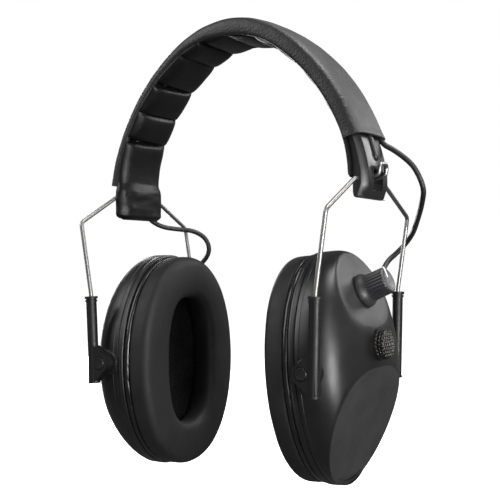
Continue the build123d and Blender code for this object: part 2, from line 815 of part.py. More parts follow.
def tube(points, name):
    """Cable tube of straight runs joined by the largest tangent arcs that they allow."""
    points = [Vector(*p) for p in points]
    radii = []
    for before, here, after in zip(points, points[1:], points[2:]):
        half_turn = math.radians((here - before).get_angle(after - here)) / 2
        shorter = min((here - before).length, (after - here).length)
        radii.append(0.45 * shorter / math.tan(half_turn))
    with BuildPart() as cable:
        with BuildLine() as route:
            FilletPolyline(*points, radius=radii)
        with BuildSketch(Plane(origin=route.line @ 0, z_dir=route.line % 0)):
            Circle(cable_radius)
        sweep()
    length = sum(edge.length for edge in route.edges())
    ratio = cable.part.volume / (math.pi * cable_radius ** 2 * length)
    print(name, "radii", [round(r, 1) for r in radii], "length", round(length, 1),
          "volume over section times length", round(ratio, 4))
    save(cable.part, name)


def band_point(sign, turn):
    """Where the cable leaves its stretch inside the sleeve."""
    x, z = arch_point(cable_depth, turn)
    return (sign * x, cable_y, z)


for side, sign, middle in (("right", 1, right_route), ("left", -1, left_route)):
    tip = cup_point(grommet_base + grommet_axis * grommet_reach, side)
    approach = cup_point(grommet_base + grommet_axis * (grommet_reach + cable_approach), side)
    route_points = [band_point(sign, band_cable_turn[side] + 0.2), *middle, tuple(approach), tuple(tip)]
    print(side, "route", [tuple(round(c, 2) for c in p) for p in route_points])
    joins = []
    for run, share in route_joins[side]:
        a, b = route_points[run], route_points[run + 1]
        joins.append(tuple(p + (q - p) * share for p, q in zip(a, b)))
    first, second = (run + 1 for run, share in route_joins[side])
    tube(route_points[:first] + joins[:1], f"cable_{side}_upper")
    tube(joins[:1] + route_points[first:second] + joins[1:], f"cable_{side}_middle")
    tube(joins[1:] + route_points[second:], f"cable_{side}_lower")

with BuildPart() as cable_in_band:
    with BuildLine(Plane.XZ.offset(-cable_y)) as band_route:
        arch_edges(cable_depth, band_cable_turn["right"], band_cable_turn["left"])
    with BuildSketch(Plane(origin=band_route.line @ 0, z_dir=band_route.line % 0)):
        Circle(cable_radius)
    sweep()
save(cable_in_band.part, "cable_in_band")
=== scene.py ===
"""Looks of a folding electronic earmuff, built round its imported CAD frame.

Shapes are worked out in millimetres in the CAD row frame and written to Blender in metres.
"""
import json
import math

import bmesh
import bpy
import numpy as np
from mathutils import Matrix, Vector, noise


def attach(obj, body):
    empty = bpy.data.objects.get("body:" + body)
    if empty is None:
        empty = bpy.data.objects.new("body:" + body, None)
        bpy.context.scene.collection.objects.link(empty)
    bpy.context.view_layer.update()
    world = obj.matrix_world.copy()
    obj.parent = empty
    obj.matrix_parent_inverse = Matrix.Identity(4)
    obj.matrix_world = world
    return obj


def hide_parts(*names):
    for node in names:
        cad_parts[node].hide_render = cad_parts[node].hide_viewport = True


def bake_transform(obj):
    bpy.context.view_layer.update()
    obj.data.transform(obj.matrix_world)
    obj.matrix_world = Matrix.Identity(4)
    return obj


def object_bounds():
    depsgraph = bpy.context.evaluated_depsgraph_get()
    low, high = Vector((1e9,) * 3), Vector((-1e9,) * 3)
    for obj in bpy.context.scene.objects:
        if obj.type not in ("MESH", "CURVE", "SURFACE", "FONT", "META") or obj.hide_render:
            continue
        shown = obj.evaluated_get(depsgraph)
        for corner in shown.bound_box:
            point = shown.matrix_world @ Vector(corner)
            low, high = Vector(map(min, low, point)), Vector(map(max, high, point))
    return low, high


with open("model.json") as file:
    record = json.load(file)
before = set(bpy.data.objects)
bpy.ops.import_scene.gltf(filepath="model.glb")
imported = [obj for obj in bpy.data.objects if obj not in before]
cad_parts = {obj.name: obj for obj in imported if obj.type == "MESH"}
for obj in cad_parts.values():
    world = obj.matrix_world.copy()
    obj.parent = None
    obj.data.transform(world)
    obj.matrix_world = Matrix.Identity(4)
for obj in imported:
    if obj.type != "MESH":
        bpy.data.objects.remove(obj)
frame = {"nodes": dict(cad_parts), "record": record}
cad_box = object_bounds()
MM = 0.001
SIDES = ("right", "left")
BLOTCH_SCALE, GLOSS_SCALE = 70, 180     # per metre: colour patches and roughness patches
scene = bpy.context.scene

# ---------------------------------------------------------------- materials


def material(name, base, rough, metallic=0.0, grains=(), vary=0.25, rough_vary=0.06,
             wear=0.0, coat=0.0, specular=0.5):
    """Procedural material; grains are bump layers: (kind, scale per metre, strength, depth mm)."""
    mat = bpy.data.materials.new(name)
    mat.use_nodes = True
    nodes, links = mat.node_tree.nodes, mat.node_tree.links
    shader = nodes["Principled BSDF"]
    shader.inputs["Metallic"].default_value = metallic
    shader.inputs["Coat Weight"].default_value = coat
    shader.inputs["Coat Roughness"].default_value = 0.12
    shader.inputs["Specular IOR Level"].default_value = specular
    where = nodes.new("ShaderNodeTexCoord")

    def texture(scale, detail=3.0):
        tex = nodes.new("ShaderNodeTexNoise")
        tex.inputs["Scale"].default_value = scale
        tex.inputs["Detail"].default_value = detail
        links.new(where.outputs["Object"], tex.inputs["Vector"])
        return tex.outputs["Fac"]

    ramp = nodes.new("ShaderNodeValToRGB")
    ramp.color_ramp.elements[0].position = 0.3
    ramp.color_ramp.elements[1].position = 0.72
    ramp.color_ramp.elements[0].color = (*[c * (1 - vary) for c in base], 1)
    ramp.color_ramp.elements[1].color = (*[min(1, c * (1 + vary)) for c in base], 1)
    links.new(texture(BLOTCH_SCALE), ramp.inputs["Fac"])
    colour = ramp.outputs["Color"]
    if wear:
        geometry = nodes.new("ShaderNodeNewGeometry")
        edge = nodes.new("ShaderNodeMapRange")
        edge.inputs["From Min"].default_value = 0.52
        edge.inputs["From Max"].default_value = 0.62
        edge.inputs["To Max"].default_value = wear
        links.new(geometry.outputs["Pointiness"], edge.inputs["Value"])
        mix = nodes.new("ShaderNodeMix")
        mix.data_type = "RGBA"
        mix.inputs["B"].default_value = (*[min(1, c * 2.6 + 0.02) for c in base], 1)
        links.new(edge.outputs["Result"], mix.inputs["Factor"])
        links.new(colour, mix.inputs["A"])
        colour = mix.outputs["Result"]
    links.new(colour, shader.inputs["Base Color"])
    spread = nodes.new("ShaderNodeMapRange")
    spread.inputs["From Min"].default_value = 0.3
    spread.inputs["From Max"].default_value = 0.7
    spread.inputs["To Min"].default_value = rough - rough_vary
    spread.inputs["To Max"].default_value = rough + rough_vary
    links.new(texture(GLOSS_SCALE, 5.0), spread.inputs["Value"])
    links.new(spread.outputs["Result"], shader.inputs["Roughness"])
    normal = None
    for kind, scale, strength, depth in grains:
        if kind == "pebble":
            tex = nodes.new("ShaderNodeTexVoronoi")
            tex.feature = "SMOOTH_F1"
            tex.inputs["Scale"].default_value = scale
            tex.inputs["Smoothness"].default_value = 0.6
            tex.inputs["Randomness"].default_value = 1.0
            links.new(where.outputs["Object"], tex.inputs["Vector"])
            flip = nodes.new("ShaderNodeMath")
            flip.operation = "SUBTRACT"
            flip.inputs[0].default_value = 1.0
            links.new(tex.outputs["Distance"], flip.inputs[1])
            height = flip.outputs["Value"]
        else:
            height = texture(scale, 6.0 if kind == "fine" else 2.0)
        bump = nodes.new("ShaderNodeBump")
        bump.inputs["Strength"].default_value = strength
        bump.inputs["Distance"].default_value = depth * MM
        links.new(height, bump.inputs["Height"])
        if normal is not None:
            links.new(normal, bump.inputs["Normal"])
        normal = bump.outputs["Normal"]
    if normal is not None:
        links.new(normal, shader.inputs["Normal"])
    return mat


LOOKS = {
    "leatherette": material("leatherette_grained", (0.0118, 0.0118, 0.0128), 0.47,
                            grains=(("pebble", 1050, 0.9, 0.16), ("fine", 3200, 0.3, 0.03)),
                            wear=0.25),
    "leatherette_smooth": material("leatherette_smooth", (0.04, 0.0375, 0.038), 0.55,
                                   grains=(("pebble", 2600, 0.30, 0.04), ("wave", 160, 0.25, 0.15)),
                                   wear=0.2),
    "pad_skin": material("pad_skin", (0.0042, 0.0041, 0.0046), 0.42, specular=0.27,
                         grains=(("pebble", 2100, 0.22, 0.04), ("wave", 240, 0.35, 0.22)),
                         rough_vary=0.05),
    "cushion_skin": material("cushion_skin", (0.0118, 0.0106, 0.0112), 0.6, specular=0.36,
                             grains=(("fine", 2600, 0.22, 0.02), ("wave", 120, 0.12, 0.2)),
                             rough_vary=0.05),
    "ring_plastic": material("ring_vinyl", (0.006, 0.006, 0.0065), 0.27,
                             grains=(("wave", 210, 0.3, 0.25),), coat=0.12),
    "shell_plastic": material("shell_plastic", (0.0095, 0.0095, 0.01), 0.35, specular=0.4,
                              grains=(("fine", 5200, 0.14, 0.012),), wear=0.15,
                              rough_vary=0.035),
    "facet_plastic": material("facet_plastic", (0.026, 0.0255, 0.0255), 0.5,
                              grains=(("fine", 4200, 0.4, 0.02),), rough_vary=0.03),
    "satin_plastic": material("satin_plastic", (0.0092, 0.0092, 0.0101), 0.36,
                              grains=(("fine", 4200, 0.16, 0.015),), wear=0.2),
    "slider_plastic": material("slider_plastic", (0.0067, 0.0067, 0.0071), 0.42, specular=0.36,
                               grains=(("fine", 3800, 0.08, 0.01),), wear=0.1),
    "knob_plastic": material("knob_plastic", (0.03, 0.03, 0.032), 0.4,
                             grains=(("fine", 4600, 0.2, 0.015),), wear=0.3),
    "white_mark": material("white_mark", (0.82, 0.82, 0.8), 0.45, vary=0.04,
                           grains=(("fine", 3000, 0.1, 0.01),)),
    "bright_wire": material("bright_wire", (0.3, 0.293, 0.285), 0.4, metallic=1.0, vary=0.05,
                            rough_vary=0.04),
    "spring_steel": material("spring_steel", (0.5, 0.5, 0.52), 0.35, metallic=1.0, vary=0.1,
                             grains=(("fine", 900, 0.1, 0.02),)),
    "rivet_metal": material("rivet_metal", (0.62, 0.62, 0.64), 0.3, metallic=1.0, vary=0.08,
                            grains=(("fine", 1200, 0.1, 0.02),)),
    "screw_steel": material("screw_steel", (0.55, 0.55, 0.57), 0.3, metallic=1.0, vary=0.08,
                            grains=(("fine", 1200, 0.1, 0.02),)),
    "acoustic_foam": material("acoustic_foam", (0.005, 0.005, 0.0055), 0.95, vary=0.6,
                              grains=(("pebble", 900, 1.0, 0.5), ("fine", 2200, 0.8, 0.2)),
                              specular=0.2),
    "baffle_plastic": material("baffle_plastic", (0.0126, 0.0126, 0.0134), 0.5,
                               grains=(("fine", 3000, 0.15, 0.02),)),
    "speaker_metal": material("speaker_metal", (0.22, 0.22, 0.23), 0.4, metallic=0.6,
                              grains=(("fine", 1500, 0.1, 0.02),)),
    "mic_metal": material("mic_metal", (0.0126, 0.0126, 0.0126), 0.45,
                          grains=(("fine", 2500, 0.1, 0.02),)),
    "mesh_metal": material("mesh_metal", (0.022, 0.0195, 0.017), 0.3, metallic=0.35,
                           grains=(("fine", 3500, 0.25, 0.02),), wear=0.6),
    "cable_rubber": material("cable_rubber", (0.0101, 0.0105, 0.0113), 0.46,
                             grains=(("fine", 2800, 0.2, 0.02),), rough_vary=0.05),
    "board_laminate": material("board_laminate", (0.03, 0.16, 0.07), 0.4,
                               grains=(("fine", 1500, 0.1, 0.02),)),
    "pot_metal": material("pot_metal", (0.6, 0.6, 0.58), 0.3, metallic=1.0, vary=0.08,
                          grains=(("fine", 1200, 0.1, 0.02),)),
    "cell_steel": material("cell_steel", (0.7, 0.7, 0.71), 0.25, metallic=1.0, vary=0.05,
                           grains=(("fine", 900, 0.08, 0.02),)),
    "contact_brass": material("contact_brass", (0.75, 0.6, 0.28), 0.3, metallic=1.0, vary=0.08,
                              grains=(("fine", 900, 0.08, 0.02),)),
}
slot_of = {entry["node"]: entry["material_slot"] for entry in frame["record"]["subparts"]}
for node, obj in frame["nodes"].items():
    obj.data.materials.clear()
    obj.data.materials.append(LOOKS[slot_of[node]])



def soften_edges(obj, width, angle):
    """Rounds the edges sharper than this angle by this many millimetres."""
    bevel = obj.modifiers.new("soft_edges", "BEVEL")
    bevel.width, bevel.segments = width * MM, 3
    bevel.limit_method, bevel.angle_limit = "ANGLE", math.radians(angle)
    bevel.harden_normals = True


for node, width in (("slider_front", 0.3), ("slider_rear", 0.3),
                    ("cable_grommet", 0.2), ("mic_housing", 0.5)):
    for side in SIDES:
        soften_edges(frame["nodes"][f"{node}_{side}"], width, 35)

for obj in frame["nodes"].values():
    split = obj.modifiers.new("crisp_edges", "EDGE_SPLIT")
    split.split_angle = math.radians(28)

# ---------------------------------------------------------------- mesh helpers


def raw_mesh(name, verts, faces):
    """Mesh from millimetre points, with its faces turned outwards."""
    data = bpy.data.meshes.new(name)
    data.from_pydata([Vector(v) * MM for v in verts], [], faces)
    data.validate()
    work = bmesh.new()
    work.from_mesh(data)
    bmesh.ops.recalc_face_normals(work, faces=work.faces)
    work.to_mesh(data)
    work.free()
    return data


def shade_smooth(data, sharp):
    """Smooth shading, broken at edges sharper than this many degrees."""
    for polygon in data.polygons:
        polygon.use_smooth = True
    data.set_sharp_from_angle(angle=math.radians(sharp))


def to_mesh(name, verts, faces, slot, body, replaces=(), face_slots=None, sharp=40.0, blend=None):
    """face_slots is (look, face numbers) for the faces that look different; blend takes the place of
    body on a piece that stretches between two bodies: such a piece is left unattached with its
    placement baked in, and the bodies and end points that blend holds are not used.
    """
    data = raw_mesh(name, verts, faces)
    shade_smooth(data, sharp)
    data.materials.append(LOOKS[slot])
    if face_slots is not None:
        extra, chosen = face_slots
        data.materials.append(LOOKS[extra])
        for index in chosen:
            data.polygons[index].material_index = 1
    obj = bpy.data.objects.new(name, data)
    scene.collection.objects.link(obj)
    if replaces:
        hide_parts(*replaces)
    if blend is not None:
        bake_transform(obj)
    else:
        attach(obj, body)
    return obj


def grid_faces(rows, columns):
    """Quads over a grid of rows by columns, with the last column joined to the first."""
    faces = []
    for i in range(rows - 1):
        for j in range(columns):
            k = (j + 1) % columns
            faces.append((i * columns + j, i * columns + k, (i + 1) * columns + k,
                          (i + 1) * columns + j))
    return faces


def smooth_line(points, count):
    """Catmull-Rom curve through the points, resampled evenly along its length."""
    pts = np.array(points, float)
    ext = np.vstack([2 * pts[0] - pts[1], pts, 2 * pts[-1] - pts[-2]])
    fine = []
    for i in range(1, len(ext) - 2):
        for t in np.linspace(0, 1, 24, endpoint=False):
            a, b, c, d = ext[i - 1:i + 3]
            fine.append(0.5 * (2 * b + (c - a) * t + (2 * a - 5 * b + 4 * c - d) * t * t
                               + (3 * b - a - 3 * c + d) * t ** 3))
    fine.append(pts[-1])
    fine = np.array(fine)
    run = np.concatenate([[0], np.cumsum(np.linalg.norm(np.diff(fine, axis=0), axis=1))])
    at = np.linspace(0, run[-1], count)
    return np.stack([np.interp(at, run, fine[:, k]) for k in range(fine.shape[1])], -1)


def wobble(point, size, seed=0.0):
    """Smooth noise in -1..1 at a millimetre point, with features this many millimetres across."""
    return noise.noise(Vector(point) / size + Vector((seed, -seed, 2 * seed)))


def step(value, low, high):
    """Smooth 0 to 1 as the value goes from low to high."""
    t = min(1.0, max(0.0, (value - low) / (high - low)))
    return t * t * (3 - 2 * t)


def carve(obj, tools, sharp):
    """Cuts closed (verts, faces) shapes out of a piece and keeps the result as its mesh."""
    for verts, faces in tools:
        tool = bpy.data.objects.new("tool", raw_mesh("tool", verts, faces))
        scene.collection.objects.link(tool)
        cut = obj.modifiers.new("cut", "BOOLEAN")
        cut.operation, cut.object, cut.solver = "DIFFERENCE", tool, "EXACT"
        bpy.context.view_layer.update()
        result = bpy.data.meshes.new_from_object(
            obj.evaluated_get(bpy.context.evaluated_depsgraph_get()))
        obj.modifiers.remove(cut)
        obj.data = result
        bpy.data.objects.remove(tool)
    shade_smooth(obj.data, sharp)


def block(low, high, origin=(0, 0, 0), axes=None):
    """Box between two corners, measured from the origin along three axes."""
    axes = axes or (Vector((1, 0, 0)), Vector((0, 1, 0)), Vector((0, 0, 1)))
    corners = []
    for i in range(8):
        offset = sum((axes[k] * (low[k], high[k])[(i >> k) & 1] for k in range(3)),
                     Vector((0, 0, 0)))
        corners.append(Vector(origin) + offset)
    faces = [(0, 1, 3, 2), (4, 6, 7, 5), (0, 4, 5, 1), (2, 3, 7, 6), (0, 2, 6, 4), (1, 5, 7, 3)]
    return [tuple(c) for c in corners], faces


def join(parts):
    """Several (verts, faces) shapes as one."""
    verts, faces = [], []
    for part_verts, part_faces in parts:
        base = len(verts)
        verts += list(part_verts)
        faces += [tuple(base + i for i in face) for face in part_faces]
    return verts, faces


# ---------------------------------------------------------------- the arch

# The outer face is a small crown arc with a flatter arm arc on each side, tangent at CROWN_TURN.
CROWN_R, CROWN_Z, ARM_R, CROWN_TURN = 54.0, 106.8, 100.0, 35.0
ARM_X = (ARM_R - CROWN_R) * math.sin(math.radians(CROWN_TURN))
ARM_Z = CROWN_Z - (ARM_R - CROWN_R) * math.cos(math.radians(CROWN_TURN))
SLEEVE_END = {"right": 71.3, "left": 79.7}
SLEEVE_WALL = 1.0
SIDE_DEPTH = 2                  # deeper than this the sleeve's contour belongs to its sides
PAD_DEPTH = 7.1
PAD_BEND_TURN, PAD_BEND_R = 70.0, 40.0
PAD_END_Z = {"right": 81.8, "left": 69.2}
DEGREES = 57.3


def arch(depth, turn):
    """(x, z) at this depth under the arch's outer face; turn is signed, right positive."""
    sign = 1 if turn >= 0 else -1
    angle = math.radians(abs(turn))
    if abs(turn) <= CROWN_TURN:
        reach = CROWN_R - depth
        return sign * reach * math.sin(angle), CROWN_Z + reach * math.cos(angle)
    reach = ARM_R - depth
    return sign * (reach * math.sin(angle) - ARM_X), reach * math.cos(angle) + ARM_Z


def sleeve_profile():
    """Half of the sleeve's outer contour as (depth, y), from the middle of the outer face round."""
    half = [(-0.55, 0.0), (-0.5, 4.0), (-0.3, 8.0), (0.05, 11.4), (0.75, 13.7), (1.9, 15.0),
            (3.6, 15.55), (5.4, 15.6), (6.6, 15.4), (7.35, 14.9), (7.5, 14.2), (7.2, 13.7)]
    return smooth_line(half, 30)


def leftness(turn):
    """0 on the right arm and 1 on the left one."""
    return step(-turn, -5, 40)


def rim_scale(turn):
    """How deep the sleeve's sides reach: they are cut lower on the left arm."""
    return 1.12 - 0.5 * leftness(turn)


def sleeve():
    """The band's leatherette sleeve: a thin channel with soft edges and pebbled sides."""
    half = sleeve_profile()
    outer = np.vstack([half[::-1] * [1, -1], half[1:]])
    tangent = np.gradient(outer, axis=0)
    tangent /= np.linalg.norm(tangent, axis=1)[:, None]
    normal = np.stack([-tangent[:, 1], tangent[:, 0]], -1)
    if normal[len(normal) // 2][0] < 0:
        normal = -normal
    inner = outer + normal * SLEEVE_WALL
    contour = np.vstack([outer, inner[::-1]])
    columns, rows = len(contour), 330
    verts = []
    for i in range(rows):
        share = i / (rows - 1)
        for j, (depth, y) in enumerate(contour):
            notch = 2.1 * (1 - step(abs(y), 5.7, 6.6)) if depth < SIDE_DEPTH else 0.0
            left = SLEEVE_END["left"] - notch
            turn = -left + share * (left + SLEEVE_END["right"])
            outside = j < len(outer)
            flare = 0.35 * step(share, 0.985, 1.0) - 0.25 * step(1 - share, 0.95, 1.0)
            if depth > SIDE_DEPTH:
                depth = SIDE_DEPTH + (depth - SIDE_DEPTH) * rim_scale(turn)
            x, z = arch(depth, turn)
            push = 0.22 * wobble((x, y, z), 17, 3.0) + 0.10 * wobble((x, y, z), 6, 5.0)
            on_top = depth < SIDE_DEPTH
            push += flare + 0.5 * math.exp(-((turn - 4) / 30) ** 2) * (1 if on_top else 0)
            push = push if outside else push * 0.9
            away = (-push) if on_top else 0.0
            x, z = arch(depth + away, turn)
            side = 0 if on_top else math.copysign(1, y)
            verts.append((x, y + side * push * 0.7, z))
    faces = grid_faces(rows, columns)
    n = len(outer)
    for row in (0, rows - 1):
        base = row * columns
        for j in range(n - 1):
            faces.append((base + j, base + j + 1, base + columns - 2 - j, base + columns - 1 - j))
    sides = []
    for index, face in enumerate(faces):
        column = face[0] % columns
        if column < n and abs(contour[column][1]) > 14.3 and contour[column][0] > 1.15:
            sides.append(index)
    return to_mesh("headband_sleeve", verts, faces, "leatherette_smooth", "headband",
                   ("headband_cover",), ("leatherette", sides), sharp=75)


sleeve()


def pad_path(spacing=0.55):
    """Stations (x, z, inward x, inward z, length so far) along the pad's back, left end first."""
    bend = arch(PAD_DEPTH, PAD_BEND_TURN)
    angle = math.radians(PAD_BEND_TURN)
    cx, cz = bend[0] - PAD_BEND_R * math.sin(angle), bend[1] - PAD_BEND_R * math.cos(angle)
    half = []
    for turn in np.arange(0, PAD_BEND_TURN, 0.2):
        x, z = arch(PAD_DEPTH, turn)
        t = math.radians(turn)
        half.append((x, z, -math.sin(t), -math.cos(t)))
    for turn in np.arange(PAD_BEND_TURN, 90, 0.4):
        t = math.radians(turn)
        half.append((cx + PAD_BEND_R * math.sin(t), cz + PAD_BEND_R * math.cos(t),
                     -math.sin(t), -math.cos(t)))
    right, left = (half + [(cx + PAD_BEND_R, z, -1.0, 0.0)
                           for z in np.arange(cz, PAD_END_Z[side], -0.4)] for side in SIDES)
    line = np.array([(-x, z, -nx, nz) for x, z, nx, nz in left[:0:-1]] + right)
    run = np.concatenate([[0], np.cumsum(np.hypot(np.diff(line[:, 0]), np.diff(line[:, 1])))])
    at = np.linspace(0, run[-1], int(run[-1] / spacing))
    return np.stack([np.interp(at, run, line[:, k]) for k in range(4)] + [at], -1)


DEEP_TURNS = (17.5, 45.5, 65.0)         # where the padding's open slits and faint seams lie
SHALLOW_TURNS = (0.0, 33.0, 55.5)


def headband_pad():
    """Cushioned lining: puffs between sewn slits, and a wrinkled flap with a rolled hem."""
    path = pad_path()
    total = path[-1, 4]

    def length_at(turn):
        x, z = arch(PAD_DEPTH, turn)
        return path[np.hypot(path[:, 0] - x, path[:, 1] - z).argmin(), 4]

    deep = sorted(length_at(s * t) for t in DEEP_TURNS for s in (1, -1))
    shallow = sorted({length_at(s * t) for t in SHALLOW_TURNS for s in (1, -1)})
    marks = sorted([0.0] + deep + shallow + [total])
    columns = 64
    verts = []
    middle = length_at(0.0)
    for x, z, nx, nz, at in path:
        left_arm = leftness((middle - at) / (ARM_R - PAD_DEPTH) * -DEGREES)
        k = min(max(np.searchsorted(marks, at) - 1, 0), len(marks) - 2)
        low, high = marks[k], marks[k + 1]
        puff = 1 - (2 * (at - low) / (high - low) - 1) ** 2
        flap = 1 - step(at, 14.0, 19.0)
        hem = math.exp(-((at - 2.0) / 1.6) ** 2)
        tip = 1 - step(min(at, total - at), 0.0, 1.3)
        for j in range(columns):
            t = 2 * math.pi * j / columns
            c, s = math.cos(t), math.sin(t)
            v = math.copysign(abs(s) ** 0.55, s)
            u = math.copysign(abs(c) ** 0.62, c)
            half_width = 14.3 + 1.1 * left_arm + 1.3 * flap
            y = half_width * v
            front = u > 0
            slit = 0.0
            for mark in deep:
                d = at - mark - 0.35 * wobble((0, y, mark), 9, 1.0)
                taper = 0.7 - 0.5 * y / half_width
                slit += 2.7 * taper * math.exp(-(d / (0.55 + 0.55 * taper)) ** 2)
                slit += 0.5 * math.exp(-(d / 3.0) ** 2)
            for mark in shallow:
                d = at - mark - 0.8 * wobble((0, y, mark), 12, 2.0)
                slit += 0.6 * math.exp(-(d / 0.8) ** 2) + 0.3 * math.exp(-(d / 2.6) ** 2)
            thick = 1.3 + 1.35 * puff ** 0.7 + 1.0 * flap + 0.35 * hem
            behind = 0.5 + 1.9 * left_arm * (1 - flap)
            lift = (thick * abs(u) - slit * abs(u) ** 0.5) if front else -behind * abs(u)
            if flap > 0 and not front:
                lift -= 0.6 * flap * abs(v) ** 6
            lift -= 1.9 * left_arm * abs(v) ** 5
            crease = 0.5 * wobble((x, y, z), 6.5, 7.0) + 0.3 * wobble((x, y * 1.6, z), 3.5, 9.0)
            lift += (0.22 + 0.75 * flap) * crease * (1 if front else 0.2)
            lift = lift * (1 - 0.8 * tip)
            y *= 1 - 0.03 * tip - 0.16 * (1 - step(at, 0.0, 3.6)) ** 2
            verts.append((x + nx * lift, y + 0.3 * flap * crease, z + nz * lift))
    rows = len(path)
    faces = grid_faces(rows, columns)
    faces.append(tuple(range(columns)))
    faces.append(tuple(range((rows - 1) * columns, rows * columns)))
    obj = to_mesh("headband_padding", verts, faces, "pad_skin", "headband", ("headband_pad",),
                  sharp=80)


headband_pad()

# ---------------------------------------------------------------- end blocks

GROOVE_FOOT = {"right": 93.5, "left": 77.0}     # how far down the cable's groove runs
CHAMFER = [(-12.5, 2.9), (-12.3, 2.5), (-9.6, 0.15), (-9.1, 0.0)]   # (y, depth) across the foot
RIB_ROWS = ((71.0, 1.6, 0.75), (76.2, 1.6, 0.75), (77.1, 1.45, 0.85), (77.7, 1.0, 1.2),
            (78.0, 0.5, 2.2))                   # (turn, half width, depth)


def end_block(side):
    """Moulded foot on the band's end: six-sided outer face, window, rib and cable groove."""
    outer = [arch(1.9, turn) for turn in np.linspace(70.2, 80.9, 12)]
    outer += [(70.5, 79.5), (70.3, 78.3), (68.7, 73.9), (68.0, 73.2)]
    inner = [(65.2, 73.2), (64.3, 73.9), (63.95, 75.4), (63.93, 87.2)]
    inner += [(23.33 + 40.6 * math.cos(a), 87.21 + 40.6 * math.sin(a))
              for a in np.radians((5.6, 11.2, 16.8, 22.2))]
    stations = CHAMFER + [(-y, inset) for y, inset in reversed(CHAMFER)]
    verts = []
    for y, inset in stations:
        for x, z in outer:
            verts.append((x - inset * (1 if x > 68.1 or z > 80 else 0), y, z))
        for x, z in inner:
            verts.append((x, y, z))
    columns = len(outer) + len(inner)
    faces = grid_faces(len(stations), columns)
    faces.append(tuple(range(columns)))
    faces.append(tuple(range((len(stations) - 1) * columns, len(stations) * columns)))
    plate = []
    for turn in np.linspace(57.0, 70.6, 10):
        for depth, y in ((1.9, -9.4), (1.9, 9.4), (4.5, 9.4), (4.5, -9.4)):
            x, z = arch(depth, turn)
            plate.append((x, y, z))
    plate_faces = grid_faces(10, 4) + [(0, 1, 2, 3), (36, 37, 38, 39)]

    def mirrored(shape):
        """The shape on its own side, since everything here is worked out for the right."""
        return ([(-x, y, z) for x, y, z in shape[0]] if side == "left" else shape[0]), shape[1]

    rib_rows = []
    for turn, width, depth in RIB_ROWS:
        for y, lower in ((-width, 1.4), (-width, 0.45), (-width + 0.4, 0.0), (width - 0.4, 0.0),
                         (width, 0.45), (width, 1.4)):
            x, z = arch(depth + lower, turn)
            rib_rows.append((x, y, z))
    rib_faces = grid_faces(5, 6)
    rib_faces += [tuple(range(6)), tuple(range(24, 30))]
    obj = to_mesh(f"foot_block_{side}", *mirrored((verts, faces)), "satin_plastic", "headband",
                  (f"end_block_{side}",), sharp=30)
    window = block((55, -5.0, 76.6), (80, 5.0, 85.8))
    groove = block((60, 9.5, GROOVE_FOOT[side]), (80, 14.0, 106))
    parting_line = block((70.1, -0.2, 72), (72, 0.2, 76.7))
    carve(obj, [mirrored(window), mirrored(groove), mirrored(parting_line)], 30)
    soften_edges(obj, 0.35, 28)
    to_mesh(f"foot_rib_{side}", *mirrored(join([(rib_rows, rib_faces), (plate, plate_faces)])),
            "satin_plastic", "headband", sharp=50)


for side in SIDES:
    end_block(side)

# ---------------------------------------------------------------- ear cups

PIN_X = 54.2
LEAN = {"right": -3.7, "left": -0.4}
CUP_Z, CUP_H, CUP_W = -0.8, 52.0, 37.6      # middle, half height and half width of the rim
CUP_WALL = 2.2
DOME_X, DOME_D = 51.5, 18.5                 # where the dome starts and how far it stands out
POWER = {"top": 2.6, "bottom": 1.8, "side": 2.7}        # 2 is an ellipse, more is squarer
UPPER = ((64.0, 32.0), 19.0)    # (x, z) on the flat, and how many degrees it looks upwards
LOWER = ((70.0, -1.0), -22.0)
MIC_Z = 8.5
CAP_DOWN, CAP_R = 19.0, 13.0    # the battery cap's recess: how far down the lower flat, and size


def place(points, side):
    """Leans upright cup points about the pivot pins and mirrors them for the left cup."""
    a = math.radians(LEAN[side])
    pts = np.array(points, float)
    x, y, z = pts[:, 0] - PIN_X, pts[:, 1], pts[:, 2]
    out = np.stack([x * math.cos(a) + z * math.sin(a) + PIN_X, y,
                    -x * math.sin(a) + z * math.cos(a)], -1)
    if side == "left":
        out[:, 0] = -out[:, 0]
    return out


def flat_x(flat, z, back=0.0):
    """Where a flat lies at this height, moved inwards by the wall if back is given."""
    (x0, z0), tilt = flat
    t = math.radians(tilt)
    return x0 - back / math.cos(t) - math.tan(t) * (z - z0)


def soft_min(a, b, k):
    """The smaller of two, rounded off where they differ by less than k."""
    h = max(k - abs(a - b), 0.0) / k
    return min(a, b) - h * h * k / 4


def dome_point(angle, share, shrink=0.0, back=(0.0, 0.0), soft=1.1):
    """Point of the cup's outside; angle from the top, share 0 at the rim to 1 at the middle."""
    c, s = math.cos(angle), math.sin(angle)
    power = POWER["side"] * s * s + (POWER["top"] if c > 0 else POWER["bottom"]) * c * c
    w = share * math.pi / 2
    reach, rise = math.cos(w) ** (2 / power), math.sin(w) ** (2 / power)
    y = (CUP_W - shrink) * reach * s
    z = CUP_Z + (CUP_H - shrink) * reach * c
    x = DOME_X + (DOME_D - shrink) * rise
    cut = min(flat_x(UPPER, z, back[0]), flat_x(LOWER, z, back[1]))
    on_flat = cut < x - 0.05
    x = soft_min(x, flat_x(UPPER, z, back[0]), soft)
    x = soft_min(x, flat_x(LOWER, z, back[1]), soft)
    return (x, y, z), on_flat


def lathe(steps, origin, axis, up, count=64, shape=None):
    """Solid of revolution: steps are (height, radius); shape may change a radius by angle."""
    axis = Vector(axis).normalized()
    first = (Vector(up) - axis * Vector(up).dot(axis)).normalized()
    second = axis.cross(first)
    verts = []
    for height, radius in steps:
        for j in range(count):
            t = 2 * math.pi * j / count
            r = radius if shape is None else shape(height, radius, t)
            verts.append(Vector(origin) + axis * height + (first * math.cos(t)
                                                           + second * math.sin(t)) * r)
    faces = grid_faces(len(steps), count)
    faces.append(tuple(range(count)))
    faces.append(tuple(range((len(steps) - 1) * count, len(steps) * count)))
    return [tuple(v) for v in verts], faces


